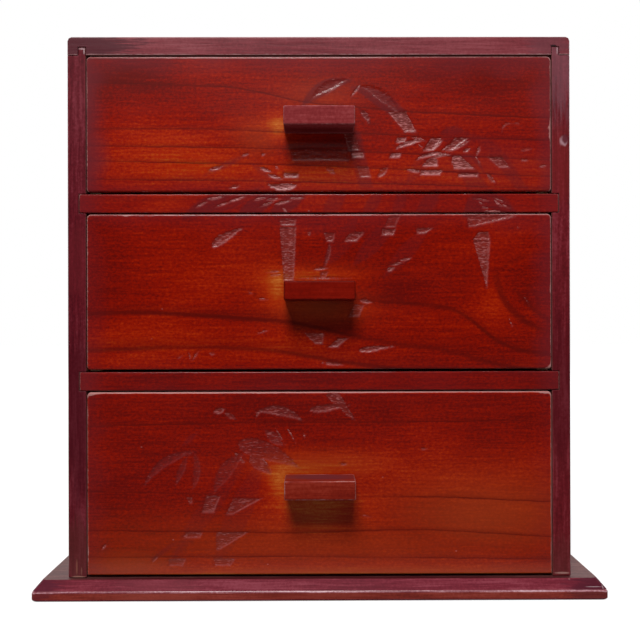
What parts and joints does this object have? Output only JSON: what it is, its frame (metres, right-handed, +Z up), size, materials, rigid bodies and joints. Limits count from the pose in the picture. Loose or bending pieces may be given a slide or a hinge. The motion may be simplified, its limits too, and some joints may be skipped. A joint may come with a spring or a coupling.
{
  "type": "table chest of drawers",
  "caption": "Small table chest in red-stained lacquered wood: housed rails, stacked sliding drawers with bar pulls and carved bamboo leaves, on a bevelled base board.",
  "frame": {"origin": "middle of the base board's underside", "axes": "+Z up, +X to the right of a person facing the drawers, -Y the way the drawers open"},
  "size_m": [0.339, 0.2393, 0.334],
  "materials": {
    "frame_lacquer": "dark maroon stain under satin lacquer",
    "front_lacquer": "red stain shaded dark at the edges, under glossy lacquer",
    "drawer_wood": "bare pale wood",
    "plywood": "bare plywood",
    "screw_steel": "zinc plated"
  },
  "bodies": {
    "case": {"base_board": "frame_lacquer", "left_side": "frame_lacquer", "right_side": "frame_lacquer", "top_board": "frame_lacquer", "upper_rail": "frame_lacquer", "lower_rail": "frame_lacquer", "upper_left_runner": "drawer_wood", "upper_right_runner": "drawer_wood", "lower_left_runner": "drawer_wood", "lower_right_runner": "drawer_wood", "back_panel": "plywood", "base_screw_left_front": "screw_steel", "base_screw_left_back": "screw_steel", "base_screw_right_front": "screw_steel", "base_screw_right_back": "screw_steel"},
    "top_drawer": {"top_drawer_front": "front_lacquer", "top_drawer_left_side": "drawer_wood", "top_drawer_right_side": "drawer_wood", "top_drawer_back": "drawer_wood", "top_drawer_bottom": "plywood", "top_pull": "frame_lacquer", "top_pull_screw_left": "screw_steel", "top_pull_screw_right": "screw_steel"},
    "middle_drawer": {"middle_drawer_front": "front_lacquer", "middle_drawer_left_side": "drawer_wood", "middle_drawer_right_side": "drawer_wood", "middle_drawer_back": "drawer_wood", "middle_drawer_bottom": "plywood", "middle_pull": "frame_lacquer", "middle_pull_screw_left": "screw_steel", "middle_pull_screw_right": "screw_steel"},
    "bottom_drawer": {"bottom_drawer_front": "front_lacquer", "bottom_drawer_left_side": "drawer_wood", "bottom_drawer_right_side": "drawer_wood", "bottom_drawer_back": "drawer_wood", "bottom_drawer_bottom": "plywood", "bottom_pull": "frame_lacquer", "bottom_pull_screw_left": "screw_steel", "bottom_pull_screw_right": "screw_steel"}
  },
  "joints": [
    {"name": "top_drawer_slide", "type": "slide", "parent": "case", "child": "top_drawer", "axis": [0, -1, 0], "range_m": [0, 0.17]},
    {"name": "middle_drawer_slide", "type": "slide", "parent": "case", "child": "middle_drawer", "axis": [0, -1, 0], "range_m": [0, 0.17]},
    {"name": "bottom_drawer_slide", "type": "slide", "parent": "case", "child": "bottom_drawer", "axis": [0, -1, 0], "range_m": [0, 0.17]}
  ]
}
